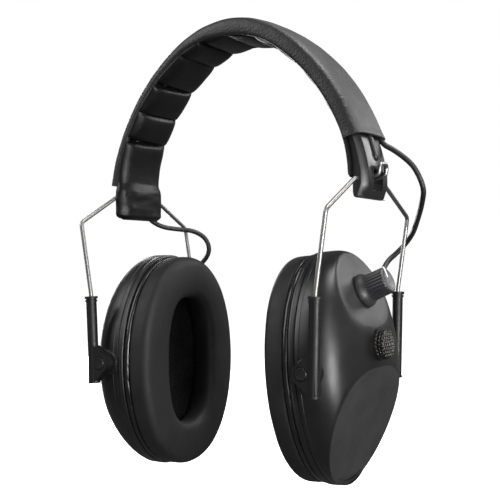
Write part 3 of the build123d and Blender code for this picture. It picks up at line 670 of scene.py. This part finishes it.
def cup_shell(side):
    """The outside of a cup: rim lip, dome with two soft-edged flats, and the pin bosses."""
    around, up = 288, 110
    verts, flats = [], set()

    def ring(x, inset):
        for j in range(around):
            t = 2 * math.pi * j / around
            verts.append((x, (CUP_W + inset) * math.sin(t), CUP_Z + (CUP_H + inset) * math.cos(t)))

    lip = [(48.35, -2.0), (48.15, -1.2), (48.1, -0.45), (48.3, -0.1), (49.0, 0.0), (50.2, 0.0),
           (50.35, -0.16), (50.55, -0.16), (50.7, 0.0)]
    for x, inset in lip:
        ring(x, inset)
    for i in range(up):
        share = i / up
        for j in range(around):
            point, on_flat = dome_point(2 * math.pi * j / around, share ** 0.9)
            if on_flat:
                flats.add(len(verts))
            verts.append(point)
    rows = len(lip) + up
    apex = len(verts)
    verts.append(dome_point(0.0, 1.0)[0])
    faces = grid_faces(rows, around)
    last = (rows - 1) * around
    faces += [(last + j, last + (j + 1) % around, apex) for j in range(around)]
    inner_rows = 24
    base = len(verts)
    for x in (48.6, 51.0):
        ring(x, -CUP_WALL)
    for i in range(inner_rows):
        for j in range(around):
            verts.append(dome_point(2 * math.pi * j / around, i / inner_rows,
                                    CUP_WALL, (CUP_WALL, CUP_WALL))[0])
    core = len(verts)
    verts.append(dome_point(0.0, 1.0, CUP_WALL, (CUP_WALL, CUP_WALL))[0])
    faces += [tuple(base + k for k in face[::-1]) for face in grid_faces(inner_rows + 2, around)]
    last = base + (inner_rows + 1) * around
    faces += [(last + (j + 1) % around, last + j, core) for j in range(around)]
    faces += [(base + j, base + (j + 1) % around, (j + 1) % around, j) for j in range(around)]
    chosen = {i for i, face in enumerate(faces) if all(v in flats for v in face)}
    bosses = [lathe([(0, 6.9), (2.6, 6.4), (4.9, 6.2), (5.35, 6.0), (5.5, 5.6)],
                    (PIN_X, sign * 33.0, 0), (0, sign, 0), (0, 0, 1)) for sign in (1, -1)]
    verts, faces = join([(verts, faces)] + bosses)
    return place(verts, side), faces, sorted(chosen)


def oval(angle, half_z, half_y, power=2.0):
    """(y, z) on a superellipse at this angle from the top."""
    c, s = math.cos(angle), math.sin(angle)
    reach = (abs(c / half_z) ** power + abs(s / half_y) ** power) ** (-1 / power)
    return reach * s, reach * c


def band_round(profile, outer, inner, side, around=256, ruffle=None):
    """Closed ring from (x, share) points; share 0 is the inner outline and 1 the outer one."""
    verts = []
    for index, (x, share) in enumerate(profile):
        for j in range(around):
            t = 2 * math.pi * j / around
            (y0, z0), (y1, z1) = oval(t, *inner), oval(t, *outer)
            y, z = y0 + (y1 - y0) * share, z0 + (z1 - z0) * share
            lift = ruffle(t, share, x) if ruffle else 0.0
            verts.append((x + lift, y, CUP_Z + z))
    rows = len(profile)
    faces = grid_faces(rows, around)
    last = (rows - 1) * around
    faces += [(last + j, last + (j + 1) % around, (j + 1) % around, j) for j in range(around)]
    return place(verts, side), faces


CUSHION_OUT = (50.9, 36.9, 2.12)    # half height, half width and power of an outline
CUSHION_IN = (30.3, 16.6, 2.7)
RING_OUT = (50.9, 36.9, 2.05)
FOAM_OUT = (40.2, 25.2)


def cushion(side):
    """Fat foam cushion with a crowned face, a rolled outer edge and a deep stadium opening."""
    profile = smooth_line([
        (44.3, 0.16), (43.0, 0.10), (40.5, 0.045), (37.0, 0.01), (34.2, 0.02), (32.5, 0.07),
        (31.5, 0.16), (31.0, 0.32), (30.9, 0.52), (31.1, 0.72), (31.7, 0.86), (32.8, 0.945),
        (34.4, 0.99), (36.4, 1.0), (39.4, 1.0), (41.0, 0.985), (41.75, 0.94), (41.95, 0.80)], 54)
    seed = 11.0 if side == "right" else 23.0

    def ruffle(t, share, x):
        p = (14 * math.cos(t), 14 * math.sin(t), 10 * share)
        return 0.22 * wobble(p, 5.0, seed) * step(share, 0.0, 0.2) * step(43 - x, 0, 3)

    verts, faces = band_round(list(profile) + [(43.9, 0.7), (44.3, 0.4)], CUSHION_OUT,
                              CUSHION_IN, side, 256, ruffle)
    obj = to_mesh(f"ear_cushion_{side}", verts, faces, "cushion_skin", f"cup_{side}",
                  (f"cushion_{side}",), sharp=75)


def vinyl_ring(side):
    """Glossy, slightly puckered skin that joins the cushion to its snap ring."""
    profile = [(41.9, 0.86), (41.95, 0.95), (42.15, 1.0), (42.7, 1.018), (43.4, 1.02),
               (44.1, 1.012), (44.5, 0.985), (44.72, 0.93), (44.75, 0.5), (44.75, 0.12),
               (43.9, 0.10), (43.6, 0.45)]
    seed = 5.0 if side == "right" else 8.0

    def ruffle(t, share, _x):
        if share < 0.9:
            return 0.0
        p = (40 * math.cos(t), 40 * math.sin(t), 0)
        return 0.22 * wobble(p, 5.5, seed) + 0.05 * wobble(p, 2.2, seed)

    verts, faces = band_round(profile, RING_OUT, CUSHION_IN, side, 360, ruffle)
    to_mesh(f"cushion_skin_ring_{side}", verts, faces, "ring_plastic", f"cup_{side}",
            (f"cushion_plate_{side}",), sharp=50)


def rim(side):
    """The snap ring that the cushion clips into, with a fine step round its middle."""
    profile = [(44.95, 0.90), (45.0, 0.975), (45.2, 0.998), (46.0, 1.0), (46.15, 0.99),
               (46.4, 0.99), (46.55, 1.0), (47.6, 1.0), (47.85, 0.995), (47.95, 0.97),
               (47.95, 0.2), (46.9, 0.2), (46.9, 0.72), (45.9, 0.78), (45.4, 0.84)]
    verts, faces = band_round(profile, (CUP_H, CUP_W, 2.0), (40.0, 25.0, 2.0), side, 320)
    to_mesh(f"snap_rim_{side}", verts, faces, "shell_plastic", f"cup_{side}",
            (f"rim_ring_{side}",), sharp=35)


def foam(side):
    """Open-cell foam seen through the cushion's opening, hollowed a little in the middle."""
    around, rows = 160, 34
    verts = []
    for layer in (0, 1):
        for i in range(rows):
            share = 1 - i / rows
            for j in range(around):
                t = 2 * math.pi * j / around
                y, z = oval(t, *FOAM_OUT)
                y, z = y * share, z * share + CUP_Z
                bump = 0.45 * wobble((y, z, 0), 2.1, 4.0) + 0.25 * wobble((y, z, 0), 0.9, 6.0)
                x = 45.35 + 1.1 * (1 - share ** 2) + bump if layer == 0 else 47.9
                verts.append((x, y, z))
    faces = grid_faces(rows, around) + [
        tuple(rows * around + k for k in face[::-1]) for face in grid_faces(rows, around)]
    faces += [(j, (j + 1) % around, rows * around + (j + 1) % around, rows * around + j)
              for j in range(around)]
    for base in (0, rows * around):
        faces.append(tuple(base + (rows - 1) * around + j for j in range(around)))
    obj = to_mesh(f"foam_{side}", place(verts, side), faces, "acoustic_foam", f"cup_{side}",
                  (f"foam_liner_{side}",), sharp=90)


MESH_PITCH = 1.7
HEX_ROW = 0.8660254         # spacing of a hexagonal mesh's rows, in pitches


def hex_rise(a, b, pitch=MESH_PITCH):
    """1 on the wires of a hexagonal mesh and 0 in its holes, at (a, b) on the flat."""
    best = []
    row = b / (pitch * HEX_ROW)
    for r in (math.floor(row), math.floor(row) + 1):
        shift = 0.5 * (r % 2)
        for q in (math.floor(a / pitch - shift), math.floor(a / pitch - shift) + 1):
            best.append(math.hypot(a - (q + shift) * pitch, b - r * pitch * HEX_ROW))
    best.sort()
    return 1 - step(best[1] - best[0], 0.0, 0.62 * pitch)


def mic_screen(side):
    """Woven cap of the microphone: a shallow drum whose mesh stands in relief."""
    radius, top, foot = 6.6, 74.8, 71.0
    around, rows, side_rows = 220, 62, 26
    rolled = 0.9                # how wide the rounded edge is
    verts, low = [], []
    for i in range(rows + side_rows):
        for j in range(around):
            t = 2 * math.pi * j / around
            if i <= rows:
                r = max(radius * i / rows, 0.02)
                rise = hex_rise(r * math.cos(t), r * math.sin(t))
                crown = 0.45 * (1 - (r / radius) ** 2)
                over = max(0.0, (r - radius + rolled) / rolled)
                edge = rolled * (1 - math.sqrt(max(0.0, 1 - over ** 2)))
                relief = 0.75 * rise * (1 - 0.4 * r / radius)
                verts.append((top - 0.5 + crown - edge + relief - 0.15,
                              r * math.cos(t), MIC_Z + r * math.sin(t)))
            else:
                down = (i - rows) / (side_rows - 1) * (top - foot - rolled)
                rise = hex_rise(t * radius, down)
                r = radius - 0.45 + 0.55 * rise
                verts.append((top - 1.4 - down, r * math.cos(t), MIC_Z + r * math.sin(t)))
            low.append(rise < 0.5)
    faces = grid_faces(rows + side_rows, around)
    faces.append(tuple(range(around)))
    last = (rows + side_rows - 1) * around
    faces.append(tuple(range(last, last + around)))
    holes = [index for index, face in enumerate(faces[:-2]) if low[face[0]] and low[face[2]]]
    to_mesh(f"mic_mesh_{side}", place(verts, side), faces, "mesh_metal", f"cup_{side}",
            (f"mic_screen_{side}",), ("acoustic_foam", holes), sharp=60)


def battery_recess(shell, side):
    """Cuts the round seat of the battery cap into the lower flat."""
    t = math.radians(LOWER[1])
    along = Vector((-math.sin(t), 0, math.cos(t)))
    out = Vector((math.cos(t), 0, math.sin(t)))
    centre = Vector((LOWER[0][0], 0, LOWER[0][1])) + along * -CAP_DOWN
    recess = lathe([(-1.75, CAP_R), (3.0, CAP_R)], centre, out, (0, 1, 0), 96)
    carve(shell, [(place(recess[0], side), recess[1])], 38)


for side in SIDES:
    verts, faces, flats = cup_shell(side)
    shell = to_mesh(f"cup_outer_{side}", verts, faces, "shell_plastic", f"cup_{side}",
                    (f"cup_shell_{side}",), ("facet_plastic", flats), sharp=38)
    cushion(side)
    vinyl_ring(side)
    rim(side)
    foam(side)
    mic_screen(side)
    if side == "left":
        battery_recess(shell, side)


def pivot_pins(side):
    """Two pins through the ear plates, with a chamfered head that stands just proud."""
    heads = [lathe([(33.5, 2.0), (38.4, 2.0), (38.6, 2.85), (43.3, 2.85), (43.55, 2.8),
                    (43.75, 2.6), (43.8, 2.3), (43.72, 1.9), (43.72, 0.3)],
                   (PIN_X, 0, 0), (0, sign, 0), (0, 0, 1), 48) for sign in (1, -1)]
    verts, faces = join(heads)
    to_mesh(f"pins_{side}", place(verts, side), faces, "satin_plastic", f"cup_{side}",
            (f"pivot_pins_{side}",), sharp=35)


for side in SIDES:
    pivot_pins(side)

# ---------------------------------------------------------------- volume knob

t = math.radians(UPPER[1])
knob_axis = Vector((math.cos(t), 0, math.sin(t)))
knob_up = Vector((-math.sin(t), 0, math.cos(t)))
knob_foot = Vector((UPPER[0][0], 0, UPPER[0][1]))
KNOB_RIBS = 24


def ribbed(height, radius, angle):
    """The barrel's radius with its grip ribs, which fade out at both ends."""
    if not 4.4 < height < 13.25 or radius < 5:
        return radius
    fade = step(height, 4.4, 5.2) * (1 - step(height, 12.9, 13.25))
    return radius + 0.42 * fade * (abs(math.cos(angle * KNOB_RIBS / 2)) ** 0.7 - 0.6)


knob_steps = [(0.4, 5.6), (0.4, 7.35), (0.65, 7.65), (1.3, 7.7), (1.9, 7.55), (2.6, 7.1),
              (3.3, 6.6), (3.9, 6.2), (4.4, 6.0), (4.6, 5.95), (5.2, 5.92), (8.0, 5.88),
              (11.0, 5.82), (12.9, 5.78), (13.1, 5.72), (13.35, 5.55), (13.5, 5.25), (13.5, 4.9),
              (13.42, 4.75), (13.42, 2.0), (13.42, 0.4)]
verts, faces = lathe(knob_steps, knob_foot, knob_axis, knob_up, KNOB_RIBS * 12, ribbed)
to_mesh("volume_knob_body", place(verts, "right"), faces, "knob_plastic", "knob",
        ("volume_knob",), sharp=32)

knob_across = knob_axis.cross(knob_up)
pointer_axes = (knob_across, knob_up, knob_axis)
mark_top = block((-0.5, 1.2, 13.3), (0.5, 5.5, 13.56), knob_foot, pointer_axes)
mark_side = block((-0.5, 5.2, 6.0), (0.5, 6.08, 13.4), knob_foot, pointer_axes)
verts, faces = join([mark_top, mark_side])
to_mesh("knob_mark", place(verts, "right"), faces, "white_mark", "knob", ("knob_pointer",),
        sharp=20)

# ---------------------------------------------------------------- cables

# Control points of each side's cable from the band to the cup, and where it is split in three.
ROUTES = {
    "right": [(62.3, 11.0, 109.16), (66.3, 11.1, 99.2), (72.4, 13.5, 95.7), (79.5, 16.0, 89.3),
              (84.3, 18.5, 79.5), (80.5, 24.5, 71.5), (74.5, 34.0, 65.5), (66.5, 46.5, 58.5),
              (59.0, 47.5, 51.0), (54.24, 40.71, 45.12), (56.3, 31.9, 38.86)],
    "left": [(-58.05, 11.0, 117.47), (-61.9, 11.0, 110.1), (-65.6, 11.0, 100.5),
             (-68.7, 11.0, 89.5), (-71.6, 11.8, 79.3), (-72.5, 16.5, 71.5), (-69.0, 24.0, 67.0),
             (-63.0, 31.5, 65.8), (-56.5, 37.0, 65.0), (-51.0, 41.0, 60.5), (-50.2, 42.8, 52.6),
             (-56.83, 40.71, 45.05), (-58.53, 31.9, 38.67)],
}
JOINS = {"right": ((3, 0.28), (6, 0.5)), "left": ((3, 0.5), (7, 0.5))}     # (run, share along it)
LENGTHS = {"right": (30.8, 39.1, 38.8), "left": (35.3, 37.3, 40.3)}
CABLE_R = 1.25


def spline_points(points):
    """Points along a NURBS line with these control points, millimetres in and out."""
    curve = bpy.data.curves.new("route", "CURVE")
    curve.dimensions = "3D"
    curve.resolution_u = 16
    spline = curve.splines.new("NURBS")
    spline.points.add(len(points) - 1)
    for control, point in zip(spline.points, points):
        control.co = (*[c * MM for c in point], 1)
    spline.order_u = 3
    spline.use_endpoint_u = True
    obj = bpy.data.objects.new("route", curve)
    scene.collection.objects.link(obj)
    line = bpy.data.meshes.new_from_object(obj)
    pts = [v.co / MM for v in line.vertices]
    bpy.data.objects.remove(obj)
    bpy.data.meshes.remove(line)
    return pts


def tube(points, radius, count=20):
    """Round tube along a line of points, with flat ends."""
    pts = [Vector(p) for p in points]
    tangents = [(pts[min(i + 1, len(pts) - 1)] - pts[max(i - 1, 0)]).normalized()
                for i in range(len(pts))]
    first = tangents[0].orthogonal().normalized()
    verts = []
    for point, along in zip(pts, tangents):
        first = (first - along * first.dot(along)).normalized()
        second = along.cross(first)
        for j in range(count):
            t = 2 * math.pi * j / count
            verts.append(tuple(point + (first * math.cos(t) + second * math.sin(t)) * radius))
    faces = grid_faces(len(pts), count)
    faces.append(tuple(range(count)))
    faces.append(tuple(range((len(pts) - 1) * count, len(pts) * count)))
    return verts, faces


for side in SIDES:
    route = ROUTES[side]
    joins = []
    for run, share in JOINS[side]:
        a, b = route[run], route[run + 1]
        joins.append(tuple(p + (q - p) * share for p, q in zip(a, b)))
    first, second = JOINS[side][0][0] + 1, JOINS[side][1][0] + 1
    stretches = (
        ("upper", route[:first] + joins[:1], ("headband", f"yoke_{side}")),
        ("middle", joins[:1] + route[first:second] + joins[1:],
         (f"yoke_{side}", f"carriage_{side}")),
        ("lower", joins[1:] + route[second:], (f"carriage_{side}", f"cup_{side}")),
    )
    for (name, points, bodies), length in zip(stretches, LENGTHS[side]):
        line = spline_points(points)
        verts, faces = tube(line, CABLE_R)
        start = Vector(points[1 if name == "upper" else 0]) * MM
        end = Vector(points[-2 if name == "lower" else -1]) * MM
        cable = to_mesh(f"cable_{name}_{side}", verts, faces, "cable_rubber", None,
                        (f"cable_{side}_{name}",), sharp=60, blend=(*bodies, start, end))

# ---------------------------------------------------------------- bent wires

WIRE_R = 1.0
# (corner, bend radius) of the front half, from the slider up to the crank's top.
WIRE_HALF = [((59.03, -41.4, -6.2), 0), ((60.54, -41.4, 32.6), 12), ((66.1, -41.6, 66.8), 3),
             ((66.0, -14.5, 81.3), 2.6), ((66.0, -3.5, 81.3), 1.4), ((72.2, -3.5, 83.6), 1.6),
             ((72.9, -3.5, 88.2), 2.2)]


def bent(corners, arc_steps=10):
    """Line of straight runs with a round bend of the given radius at each corner."""
    out = [Vector(corners[0][0])]
    for (before, _), (corner, radius), (after, _) in zip(corners, corners[1:], corners[2:]):
        corner = Vector(corner)
        one, two = (Vector(before) - corner), (Vector(after) - corner)
        half_angle = one.angle(two) / 2
        cut = min(radius / math.tan(half_angle), 0.48 * one.length, 0.48 * two.length)
        one, two = one.normalized(), two.normalized()
        reach = cut / math.cos(half_angle)
        centre = corner + (one + two).normalized() * reach
        start, end = corner + one * cut - centre, corner + two * cut - centre
        for k in range(arc_steps + 1):
            out.append(centre + start.slerp(end, k / arc_steps) * start.length)
    out.append(Vector(corners[-1][0]))
    return out


def yoke_wire(side):
    """One bent spring wire from slider to slider by way of the crank over the block's window."""
    rear_half = [((x, -y, z), radius) for (x, y, z), radius in reversed(WIRE_HALF)]
    line = bent(WIRE_HALF + rear_half)
    verts, faces = tube(line, WIRE_R, 16)
    if side == "left":
        verts = [(-x, y, z) for x, y, z in verts]
    to_mesh(f"wire_yoke_{side}", verts, faces, "bright_wire", f"yoke_{side}",
            (f"yoke_wire_{side}",), sharp=70)


for side in SIDES:
    yoke_wire(side)

# ---------------------------------------------------------------- camera, light and floor

AZIMUTH, ELEVATION, ROLL = 32.596, -1.475, -0.841      # degrees
DISTANCE, SIDEWAYS, UPWARDS = 434.3, 1.83, 52.47        # millimetres from the origin
SENSOR = 36.0
FOCAL_SHARE = 910.2 / 500                               # focal length in picture widths
az, el, ro = (math.radians(a) for a in (AZIMUTH, ELEVATION, ROLL))
back = Vector((math.sin(az) * math.cos(el), -math.cos(az) * math.cos(el), math.sin(el)))
level = Vector((0, 0, 1)).cross(back).normalized()
upright = back.cross(level)
right_axis = level * math.cos(ro) + upright * math.sin(ro)
up_axis = -level * math.sin(ro) + upright * math.cos(ro)
eye = (back * DISTANCE + right_axis * SIDEWAYS + up_axis * UPWARDS) * MM
lens = bpy.data.cameras.new("camera")
lens.sensor_width = SENSOR
lens.lens = FOCAL_SHARE * SENSOR
lens.clip_start = 0.01
camera = bpy.data.objects.new("camera", lens)
camera.matrix_world = Matrix((
    (right_axis.x, up_axis.x, back.x, eye.x),
    (right_axis.y, up_axis.y, back.y, eye.y),
    (right_axis.z, up_axis.z, back.z, eye.z),
    (0, 0, 0, 1)))
scene.collection.objects.link(camera)
scene.camera = camera


def soft_light(name, position, target, size, power):
    """Rectangular light at a position in metres, aimed at a point, with its power in watts."""
    data = bpy.data.lights.new(name, "AREA")
    data.shape = "RECTANGLE"
    data.size, data.size_y = size
    data.energy = power
    obj = bpy.data.objects.new(name, data)
    obj.location = position
    aim = Vector(target) - Vector(position)
    obj.rotation_euler = aim.to_track_quat("-Z", "Y").to_euler()
    scene.collection.objects.link(obj)


soft_light("key", (-0.62, -0.6, 0.62), (0, 0, 0.05), (0.42, 0.8), 5.5)
soft_light("side", (1.0, -0.55, 0.25), (0.05, 0, 0.03), (0.5, 0.9), 4.5)
soft_light("top", (0.35, 0.1, 0.85), (0, 0, 0.08), (0.5, 0.4), 7)
soft_light("rear", (0.5, 0.75, 0.45), (0, 0, 0.05), (0.4, 0.3), 3)
soft_light("rear_left", (-0.85, 0.55, 0.15), (-0.05, 0, 0.0), (0.4, 0.8), 7)
soft_light("inner", (0.6, -0.2, 0.0), (-0.05, 0, 0.1), (0.25, 0.25), 3)
soft_light("bounce", (0.4, -0.5, -0.045), (0.05, 0, 0.0), (0.5, 0.25), 0.7)

WORLD_FILL, BACKDROP = 0.16, 1.0    # strength as light on the part, and as the white behind it
world = bpy.data.worlds.new("studio")
world.use_nodes = True
studio, wires = world.node_tree.nodes, world.node_tree.links
path_kind = studio.new("ShaderNodeLightPath")
glow = studio.new("ShaderNodeMapRange")
glow.inputs["To Min"].default_value = WORLD_FILL
glow.inputs["To Max"].default_value = BACKDROP
wires.new(path_kind.outputs["Is Camera Ray"], glow.inputs["Value"])
studio["Background"].inputs["Color"].default_value = (1, 1, 1, 1)
wires.new(glow.outputs["Result"], studio["Background"].inputs["Strength"])
scene.world = world
scene.view_settings.view_transform = "Standard"

FLOOR_DROP, FLOOR_HALF = 0.034, 4   # clear of the cups when they are lowered, in metres
floor_z = cad_box[0][2] - FLOOR_DROP
floor_corners = [(x * FLOOR_HALF, y * FLOOR_HALF, floor_z)
                 for x, y in ((-1, -1), (1, -1), (1, 1), (-1, 1))]
floor_data = bpy.data.meshes.new("floor")
floor_data.from_pydata(floor_corners, [], [(0, 1, 2, 3)])
pale = material("pale_floor", (0.85, 0.85, 0.85), 0.7, vary=0.01)
pale_shader = pale.node_tree.nodes["Principled BSDF"]
pale_shader.inputs["Emission Color"].default_value = (1, 1, 1, 1)
pale_shader.inputs["Emission Strength"].default_value = 1.0
floor_data.materials.append(pale)
floor = bpy.data.objects.new("floor", floor_data)
floor.visible_diffuse = False
floor.visible_glossy = False
scene.collection.objects.link(floor)
